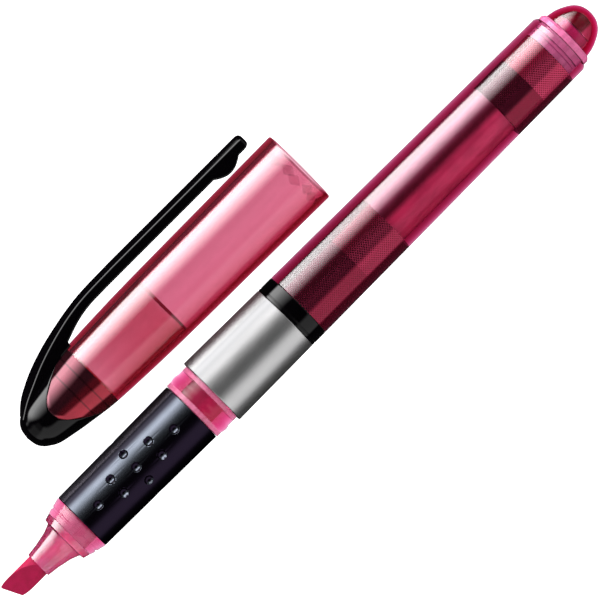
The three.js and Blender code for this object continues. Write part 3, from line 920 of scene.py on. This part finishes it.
def section():
    """The stepped front, the tube under the grip, the neck with its bead, and the tenon."""
    corners = [
        (SECTION_FRONT, SECTION_BORE_R, 0.05), (SECTION_FRONT, 4.5, 0.1), (14.0, 4.74, 0.1),
        (14.15, 4.62, 0.05), (14.35, 4.62, 0.05), (14.5, 4.85, 0.1), (15.05, 4.95, 0.1),
        (GRIP_FRONT - 0.01, 5.2, 0.05), (GRIP_FRONT - 0.01, SECTION_TUBE_R),
        (39.85, SECTION_TUBE_R), (39.85, NECK_R, 0.1), (BEAD_AT - 0.75, NECK_R, 0.2),
        (BEAD_AT - 0.3, BEAD_R, 0.25), (BEAD_AT + 0.3, BEAD_R, 0.25),
        (BEAD_AT + 0.75, NECK_R, 0.2), (44.0, NECK_R, 0.05), (44.0, RING_SEAT_R),
        (60.0, RING_SEAT_R), (60.0, TENON_R),
        *seal_groove(SECTION_SEAL, TENON_R),
        (TENON_REAR, TENON_R, 0.1), (TENON_REAR, SECTION_BORE_R),
    ]
    return dressed(turned("section_front_and_neck", corners), "pen", ["section"], "pink_clear", SECTION_CLEAR)


def dimple_places():
    """(station, angle from straight up) of every dimple, as the CAD model sets them out."""
    places = []
    for group in range(DIMPLE_GROUPS):
        for row in range(-2, 3):
            count = 3 - abs(row)
            for i in range(count):
                turn = (2 * i - (count - 1)) * DIMPLE_STEP + group * 2 * math.pi / DIMPLE_GROUPS
                places.append((DIMPLE_MIDDLE + row * DIMPLE_PITCH, turn))
    return places


def grip_stations():
    """Stations along the sleeve, close together where the dimples are."""
    reach = DIMPLE_R + 0.06
    stations = [GRIP_FRONT + 0.25]
    for row in range(-2, 3):
        middle = DIMPLE_MIDDLE + row * DIMPLE_PITCH
        stations += spread(middle - reach, middle + reach, 22)
    return [*stations, GRIP_REAR - 0.25]


def grip_radius(station):
    """The grip's outer radius, which grows towards its rear."""
    along = (station - GRIP_FRONT) / (GRIP_REAR - GRIP_FRONT)
    return GRIP_FRONT_R + (GRIP_REAR_R - GRIP_FRONT_R) * along


def grip_sleeve():
    """The rubber sleeve, with its dimples pressed into a fine grid."""
    dimples = dimple_places()
    ball = (DIMPLE_R**2 + DIMPLE_DEPTH**2) / (2 * DIMPLE_DEPTH)

    def dimpled(station, radius, angle):
        if radius < grip_radius(station) - 0.02:
            return station, radius
        up = math.pi / 2 - angle
        drop = 0.0
        for place, turn in dimples:
            if abs(station - place) > 2 * DIMPLE_R:
                continue
            around = math.remainder(up - turn, 2 * math.pi) * radius
            away = math.hypot(station - place, around)
            if away < DIMPLE_R:
                drop = math.sqrt(ball**2 - away**2) - (ball - DIMPLE_DEPTH)
        return station, radius - drop

    fine = [(x, grip_radius(x)) for x in grip_stations()]
    front, rear = GRIP_FRONT_R, GRIP_REAR_R
    corners = [
        (GRIP_FRONT, GRIP_BORE_R), (GRIP_FRONT, front - 0.12, 0.06),
        (GRIP_FRONT + 0.12, front, 0.06),
        *fine,
        (GRIP_REAR - 0.12, rear, 0.06), (GRIP_REAR, rear - 0.12, 0.06),
        (GRIP_REAR, GRIP_BORE_R),
    ]
    piece = turned("grip_rubber_sleeve", corners, sides=GRIP_SIDES, bend=dimpled)
    return dressed(piece, "pen", ["grip_sleeve"], "grip_rubber", RUBBER)


def rings():
    """The satin ring, and the black ring with a fine groove behind it."""
    metal = [
        (RING_FRONT, RING_BORE_R, 0.05), (RING_FRONT, RING_FRONT_R, 0.16),
        (RING_REAR, RING_REAR_R, 0.1), (RING_REAR, RING_BORE_R),
    ]
    dressed(turned("metal_ring_satin", metal), "pen", ["metal_ring"], "satin_metal", METAL)
    front, rear = RING_REAR + 0.04, BARREL_FRONT - 0.04
    black = [
        (front, BARREL_BORE_R), (front, RING_REAR_R - 0.03, 0.08),
        (front + 0.45, RING_REAR_R, 0.05), (front + 0.5, RING_REAR_R - 0.07, 0.03),
        (front + 0.62, RING_REAR_R - 0.07, 0.03), (front + 0.67, RING_REAR_R, 0.05),
        (rear, RING_REAR_R, 0.1), (rear, BARREL_BORE_R),
    ]
    dressed(turned("black_ring_gloss", black), "pen", ["black_ring"], "gloss_black", BLACK)


def tank():
    """The barrel, and the ink in it, whose free end is a rounded surface."""
    barrel = [
        (BARREL_FRONT, BARREL_BORE_R), (BARREL_FRONT, BARREL_FRONT_R, 0.12),
        (BARREL_REAR - 0.5, BARREL_REAR_R, 0.3), (BARREL_REAR, BARREL_REAR_R - 0.35, 0.1),
        (BARREL_REAR, BARREL_BORE_R),
    ]
    dressed(turned("barrel_tube", barrel), "pen", ["barrel"], "barrel_clear", BARREL_CLEAR)
    core = BARREL_BORE_R - 0.04
    ink = [
        (WICK_REAR + GAP, 0), (WICK_REAR + GAP, WICK_R + GAP),
        (STOPPER_REAR + GAP, WICK_R + GAP), (STOPPER_REAR + GAP, core, 0.2),
        (INK_REAR + 2, core, 0.3), (INK_REAR + 1.5, core * 0.55, 1.5), (INK_REAR + 1.3, 0),
    ]
    dressed(turned("ink_in_tank", ink), "pen", ["ink_charge"], "ink", INK)


def tail():
    """The plug with its skirt, flange and boss."""
    plug = [
        (SKIRT_FRONT + 2, 0), (SKIRT_FRONT + 2, 3.3, 0.2), (SKIRT_FRONT, 3.3, 0.05),
        (SKIRT_FRONT, SKIRT_R, 0.1),
        *seal_groove(TAIL_SEAL, SKIRT_R),
        (120.36, SKIRT_R), (120.36, PLUG_FLANGE_R, 0.08), (121.1, PLUG_FLANGE_R, 0.2),
        (PLUG_REAR, 4.6, 0.1), (PLUG_REAR, 2.9, 0.15), (BOSS_REAR, 2.8, 0.45),
        (BOSS_REAR, 0),
    ]
    dressed(turned("tail_plug_stepped", plug), "pen", ["tail_plug"], "pink_clear", PLUG_CLEAR)


DOME_SKIN = [(121.6, 4.4), (123.1, 4.1), (124.6, 3.45), (125.7, 2.7), (126.4, 1.8), (126.72, 0.9), (126.8, 0)]
DOME_HOLLOW = [(121.6, 3.3), (123.2, 3.0), (124.4, 2.5), (125.3, 1.7), (125.7, 0.8), (125.8, 0)]


def dome():
    """The hollow clear end cap. The face of its hollow is the second material."""
    skin = [Vector(p) for p in smooth_line(DOME_SKIN, 6)]
    hollow_line = smooth_line(DOME_HOLLOW)
    hollow = [Vector(p) for p in hollow_line]
    rows = [*reversed(hollow), *skin]
    rows[0].y = 0
    rows[-1].y = 0
    vertices, faces = turned_parts(rows)
    piece = finished("tail_dome_clear", vertices, faces, PEN)
    dressed(piece, "pen", ["tail_dome"], "barrel_clear", DOME_CLEAR, DOME_HOLLOW_PAINTED_TINT)
    paint_inside(piece, lambda station: on_line(hollow_line, station) + 0.05 if station > BOSS_REAR else 0)


# ---- The cap ----


def seam_inside(angle, radius):
    """Where the seam between crown and shell lies at this angle and radius."""
    bow = SEAM_BOW_CLIP_SIDE if math.cos(angle) > 0 else SEAM_BOW_FAR_SIDE
    return SEAM_APEX + bow * (radius * math.cos(angle)) ** 2


def seam_station(angle):
    """Where the seam crosses the outer skin at this angle, found by going round and round."""
    station = SEAM_APEX
    for _ in range(SEAM_ROUNDS):
        station = seam_inside(angle, cap_radius(station))
    return station


def swept_rows(name, profile_at):
    """A closed body of the cap whose outline, from axis to axis, changes with the angle."""
    outlines = [profile_at(2 * math.pi * i / SWEPT_SIDES) for i in range(SWEPT_SIDES)]
    parts = round_mesh(len(outlines[0]), SWEPT_SIDES, lambda row, step: outlines[step][row])
    return finished(name, *parts, CAP)


def crown_outline(angle):
    """The crown's outline at this angle, from its tip over the skin and back through the socket."""
    seam = seam_station(angle)
    steps = 44
    skin = [(seam - 0.1) * (j / steps) ** 2 for j in range(1, steps + 1)]
    rows = [(0, 0), *((x, cap_radius(x)) for x in skin)]
    rim = cap_radius(seam)
    inside = rim - CROWN_WALL
    rows += [(seam - 0.04, rim - 0.02), (seam, rim - 0.08)]
    middle = (rim + inside) / 2
    rows.append((seam_inside(angle, middle), middle))
    back = seam_inside(angle, inside)
    rows.append((back, inside))
    rows += [(x, cap_radius(x) - CROWN_WALL) for x in spread(back, NOSE_FRONT + 0.3, 11)[1:]]
    return [*rows, (NOSE_FRONT, 1.6), (NOSE_FRONT, 0)]


def shell_outline(angle):
    """The shell's outline at this angle: nose, seam, skin, mouth, bore and socket."""
    seam = seam_station(angle)
    start = seam + SEAM_GAP
    rim = cap_radius(start)
    inside = rim - CROWN_WALL - SHELL_NECK_GAP
    nose = NOSE_FRONT + 0.25
    rows = [(nose, 0), (nose, 1.4)]
    back = seam_inside(angle, inside) + SEAM_GAP
    neck = [nose + 0.3 + (back - nose - 0.3) * j / 11 for j in range(1, 12)]
    rows += [(x, cap_radius(x) - CROWN_WALL - SHELL_NECK_GAP) for x in neck]
    middle = (rim + inside) / 2
    rows.append((seam_inside(angle, middle) + SEAM_GAP, middle))
    rows += [(start, rim - 0.08), (start + 0.04, rim - 0.02)]
    skin = [*spread(start + 0.1, SOLID_END - 0.05, 14), *spread(SOLID_END, CAP_LENGTH - 0.3, 28)]
    rows += [(x, cap_radius(x)) for x in skin]
    mouth = [(CAP_LENGTH, CAP_MOUTH_R, 0.28), (CAP_LENGTH, BORE_MOUTH_R, 0.12)]
    lip = filleted([(CAP_LENGTH - 3, 6.52), *mouth, (CAP_LENGTH - 3, 5.7)], False)[1:-1]
    rows += [tuple(p) for p in lip]
    rows += [(x, nubbed_bore(x, angle)) for x in spread(CAP_LENGTH - 0.25, NUB_AT - 1.6, 26)]
    rows += [(x, bore_radius(x)) for x in spread(NUB_AT - 2.2, BORE_MIDDLE, 12)]
    rows += [(22, 5.22), (BORE_END + 0.3, BORE_END_R), (BORE_END, BORE_END_R - 0.3)]
    rows += [(BORE_END, SOCKET_R + 0.1), (BORE_END - 0.1, SOCKET_R), (SOCKET_END, SOCKET_R), (SOCKET_END, 0)]
    return rows


def bore_radius(station):
    """The bore's radius behind the inner cup."""
    along = (station - BORE_MIDDLE) / (CAP_LENGTH - BORE_MIDDLE)
    return BORE_MIDDLE_R + (BORE_MOUTH_R - BORE_MIDDLE_R) * along


def nubbed_bore(station, angle):
    """The bore near the mouth, with eight diamond-shaped nubs standing out of it."""
    step = 2 * math.pi / NUB_COUNT
    off = math.remainder(angle - NUB_TURN, step) / NUB_HALF_ANGLE
    way = abs(off) + abs(station - NUB_AT) / NUB_HALF_LENGTH
    return bore_radius(station) - NUB_STANDOUT * max(0.0, min(1.0, 1.6 * (1 - way)))


def clip_section(station):
    """The clip's cross-section at a station as (y, z) points, from its front round its back."""
    narrowing = (CLIP_HALF_TIP - CLIP_HALF_ROOT) * max(0.0, station - CLIP_NARROWS_FROM)
    half = CLIP_HALF_ROOT + narrowing / (CLIP_TIP - CLIP_NARROWS_FROM)
    back = on_line(BACK_LINE, station)
    shoulder = on_line(SHOULDER_LINE, station)
    front = clip_front(station, half)
    ridge = half * np.interp(station, *CLIP_RIDGE)
    corners = [
        (front, -half, 0.22), (shoulder, -half, CLIP_EDGE_ROUND), (back, -ridge, 0.6),
        (back, ridge, 0.6), (shoulder, half, CLIP_EDGE_ROUND), (front, half, 0.22),
        *((saddle_or_flat(station, front, z), z) for z in spread(half * 0.75, -half * 0.75, 6)),
    ]
    section_points = filleted(corners, True)
    past = max(0.0, station - (CLIP_TIP - CLIP_TIP_ROUND)) / CLIP_TIP_ROUND
    if past:
        rounded = max(0.0, 1 - past**CLIP_TIP_POWER) ** (1 / CLIP_TIP_POWER)
        shrink = rounded * (1 - CLIP_TIP_BLUNT) + CLIP_TIP_BLUNT
        middle = Vector(((front + back) / 2, 0))
        section_points = [middle + (p - middle) * shrink for p in section_points]
    return section_points


def saddle_or_flat(station, front, z):
    """Over the shell the root's inner face is a saddle just above the skin; elsewhere it's flat."""
    if not SADDLE_FROM <= station < CLIP_FRONT[0][0]:
        return front
    return math.sqrt(cap_radius(station) ** 2 - z**2) + SADDLE_GAP


def clip_front(station, half):
    """How near the axis the clip's inner face comes: in the crown, over the shell, then free."""
    edge = math.sqrt(max(0.5, cap_radius(station) ** 2 - half**2))
    if station < SADDLE_FROM:
        return edge - 0.35
    if station < CLIP_FRONT[0][0]:
        return edge + SADDLE_GAP
    bump = 0.0
    if HUMP_FRONT < station < HUMP_REAR:
        bump = HUMP_DEPTH * math.cos((station - HUMP_AT) / (HUMP_REAR - HUMP_FRONT) * math.pi) ** 0.9
    return on_line(FRONT_LINE, station) - bump


def clip_loft():
    """Vertices and faces of the clip, swept along the cap from inside the crown to its tip."""
    stations = [
        *spread(CLIP_START, 12.5, 26),
        SADDLE_FROM + 0.02,
        *spread(13.2, 14.8, 4),
        CLIP_FRONT[0][0] + 0.02,
        *spread(15.4, 27.8, 30),
        *spread(29, HUMP_FRONT, 20),
        *spread(HUMP_FRONT + 0.2, HUMP_REAR, 28),
        *spread(HUMP_REAR + 0.3, CLIP_TIP - CLIP_TIP_ROUND, 5),
        *(CLIP_TIP - CLIP_TIP_ROUND * (1 - math.sin(t * math.pi / 2 / 8)) for t in range(1, 9)),
    ]
    vertices, faces = [], []
    for x in stations:
        vertices += [(x, y, z) for y, z in clip_section(x)]
    count = len(vertices) // len(stations)
    for row in range(len(stations) - 1):
        for i in range(count):
            j = (i + 1) % count
            a, b = row * count, (row + 1) * count
            faces.append((a + i, b + i, b + j, a + j))
    faces.append(tuple(range(count)))
    faces.append(tuple(range(len(vertices) - count, len(vertices))))
    return vertices, faces


def crown_and_clip():
    """The black moulding. The clip's root is joined into the crown."""
    crown = swept_rows("crown_and_clip", crown_outline)
    vertices, faces = clip_loft()
    arm = finished("clip_cutter", vertices, faces, CAP)
    join = crown.modifiers.new("join", "BOOLEAN")
    join.operation = "UNION"
    join.solver = "EXACT"
    join.object = arm
    view = bpy.context.evaluated_depsgraph_get()
    joined = bpy.data.meshes.new_from_object(crown.evaluated_get(view))
    crown.modifiers.clear()
    crown.data = joined
    bpy.data.objects.remove(arm)
    mark_places(crown, CAP)
    shade(crown, math.radians(30))
    wear(crown, BLACK)
    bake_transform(crown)
    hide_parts("cap_crown", "clip_arm")
    return crown


def cap_shell():
    """The clear shell. Its solid front end, under the crown's seam, is the second material."""
    shell = swept_rows("cap_shell_clear", shell_outline)
    dressed(shell, "cap", ["cap_shell"], "cap_clear", CAP_CLEAR, CAP_SOLID)
    paint_inside(shell, lambda station: PAST_SKIN if station < SOLID_END else 0)


def inner_cup():
    """The cup that seals the nib. Its lip is the second material."""
    corners = [
        (CUP_FLOOR, 0), (CUP_FLOOR, CUP_BORE_R, 0.3),
        (BORE_MIDDLE - CUP_LIP_LENGTH - 0.2, CUP_BORE_R, 0.1),
        (BORE_MIDDLE - CUP_LIP_LENGTH, CUP_LIP_R, 0.1), (BORE_MIDDLE, CUP_LIP_R, 0.12),
        (BORE_MIDDLE, BORE_MIDDLE_R - 0.06, 0.12),
        (BORE_MIDDLE - CUP_LINE + 0.02, BORE_MIDDLE_R - 0.06),
        (BORE_END + 0.08, BORE_END_R - 0.06, 0.25), (BORE_END + 0.08, SOCKET_R - 0.06),
        (SOCKET_END + 0.08, SOCKET_R - 0.06, 0.2), (SOCKET_END + 0.08, 0),
    ]
    cup = turned("inner_cup_seal", corners, CAP)
    dressed(cup, "cap", ["inner_cup"], "cup_plastic", CUP_CLEAR, CUP_LIP)
    paint_inside(cup, lambda station: PAST_SKIN if station > BORE_MIDDLE - CUP_LINE else 0)


def inside_nodes():
    """The CAD nodes that stay as they are, with their materials."""
    for name in ("ink_wick", "ink_feed", "tank_stopper"):
        wear(frame["nodes"][name], FEED)
    wear(frame["nodes"]["section_seal"], SEAL)
    wear(frame["nodes"]["tail_seal"], SILICONE)


# ---- The stage ----

VIEW_WIDTH_MM = 92.3
VIEW_TARGET_MM = (63.7, 0.35, 0)
CAMERA_DISTANCE = 1.2
CAMERA_LEAN = math.radians(2)
SENSOR_MM = 36
FLOOR_SIZE = 5.0
FLOOR_DROP = 0.00002
TRANSPARENT_BOUNCES = 24


def floor():
    """A plain white table top. It glows a little so that it stays white under soft light."""
    bpy.ops.mesh.primitive_plane_add(size=FLOOR_SIZE, location=(0, 0, -FLOOR_DROP))
    table = bpy.context.object
    table.name = "table_top"
    s = Shader("table_white")
    mottle = s.noise(s.node("TexCoord").outputs["Object"], 40.0, 2)
    matte = s.node("BsdfDiffuse", Color=s.blend(mottle, (0.14, 0.14, 0.14), (0.15, 0.15, 0.15)))
    glow = s.node("Emission", Color=(1, 1, 1), Strength=TABLE_LIGHT)
    both = s.joined("AddShader", None, matte.outputs[0], glow.outputs[0])
    table.data.materials.append(s.done(both))
    table.visible_glossy = False


MAIN_LIGHT = 6.4
FILL_LIGHT = 0.62
END_LIGHT = 0.12
LOW_END_BOOST = 2.5
AMBIENT = 0.012
OVERHEAD_LIGHT = 0.85
TABLE_LIGHT = 1.5


def studio_light():
    """Soft light from one long softbox beside the clip, a weaker fill opposite, and a white backdrop.

    An overhead light that doesn't show in reflections lifts the matte parts.
    """
    s = Shader("studio", world=True)
    way = s.node("SeparateXYZ", Vector=s.node("TexCoord").outputs["Generated"])
    y, z = way.outputs["Y"], way.outputs["Z"]
    flat = s.math("SQRT", s.math("SUBTRACT", 1.0001, s.times(z, z)))
    sideways = s.math("DIVIDE", y, flat)
    rise = s.between(z, -0.14, 0.03)
    fade = s.between(z, 0.3, 0.9, 1, 0, smooth=False)
    main = s.times(rise, fade, s.between(sideways, 0.5, 0.9))
    edge = s.between(z, 0.66, 0.81, 1, 0)
    fill = s.times(rise, edge, s.between(sideways, -0.2, -0.45))
    off_end = s.math("ABSOLUTE", sideways)
    low = s.between(z, 0.5, 0.32, 1, LOW_END_BOOST)
    ends = s.times(rise, edge, s.between(off_end, 0.45, 0.2), low)
    light = s.times(main, MAIN_LIGHT)
    light = s.math("MULTIPLY_ADD", fill, FILL_LIGHT, light)
    light = s.math("MULTIPLY_ADD", ends, END_LIGHT, light)
    light = s.math("ADD", light, AMBIENT)
    path = s.node("LightPath")
    overhead = s.times(s.between(z, 0.3, 0.8), path.outputs["Is Diffuse Ray"])
    light = s.math("MULTIPLY_ADD", overhead, OVERHEAD_LIGHT, light)
    seen = path.outputs["Is Camera Ray"]
    strength = s.math("MULTIPLY_ADD", seen, s.math("SUBTRACT", TABLE_LIGHT, light), light)
    background = s.node("Background", Color=(1, 1, 1), Strength=strength)
    bpy.context.scene.world = s.done(background.outputs[0])


def camera():
    """A long lens that looks almost straight down, with the pen across the frame's diagonal."""
    data = bpy.data.cameras.new("camera")
    data.sensor_width = SENSOR_MM
    data.lens = SENSOR_MM * CAMERA_DISTANCE / (VIEW_WIDTH_MM * MM)
    data.clip_end = 10
    shot = bpy.data.objects.new("camera", data)
    bpy.context.scene.collection.objects.link(shot)
    right = Vector((1, -1, 0)).normalized()
    back = Vector((-math.sin(CAMERA_LEAN), 0, math.cos(CAMERA_LEAN)))
    up = back.cross(right).normalized()
    right = up.cross(back)
    target = PEN @ (Vector(VIEW_TARGET_MM) * MM)
    shot.matrix_world = placed(target + back * CAMERA_DISTANCE, right, up, back)
    bpy.context.scene.camera = shot


def look_settings():
    """Plain colours, and enough bounces to see through every clear wall."""
    scene = bpy.context.scene
    scene.view_settings.view_transform = "Standard"
    scene.cycles.transparent_max_bounces = TRANSPARENT_BOUNCES


nib()
nib_holder()
section()
grip_sleeve()
rings()
tank()
tail()
dome()
crown_and_clip()
cap_shell()
inner_cup()
inside_nodes()
floor()
studio_light()
camera()
look_settings()
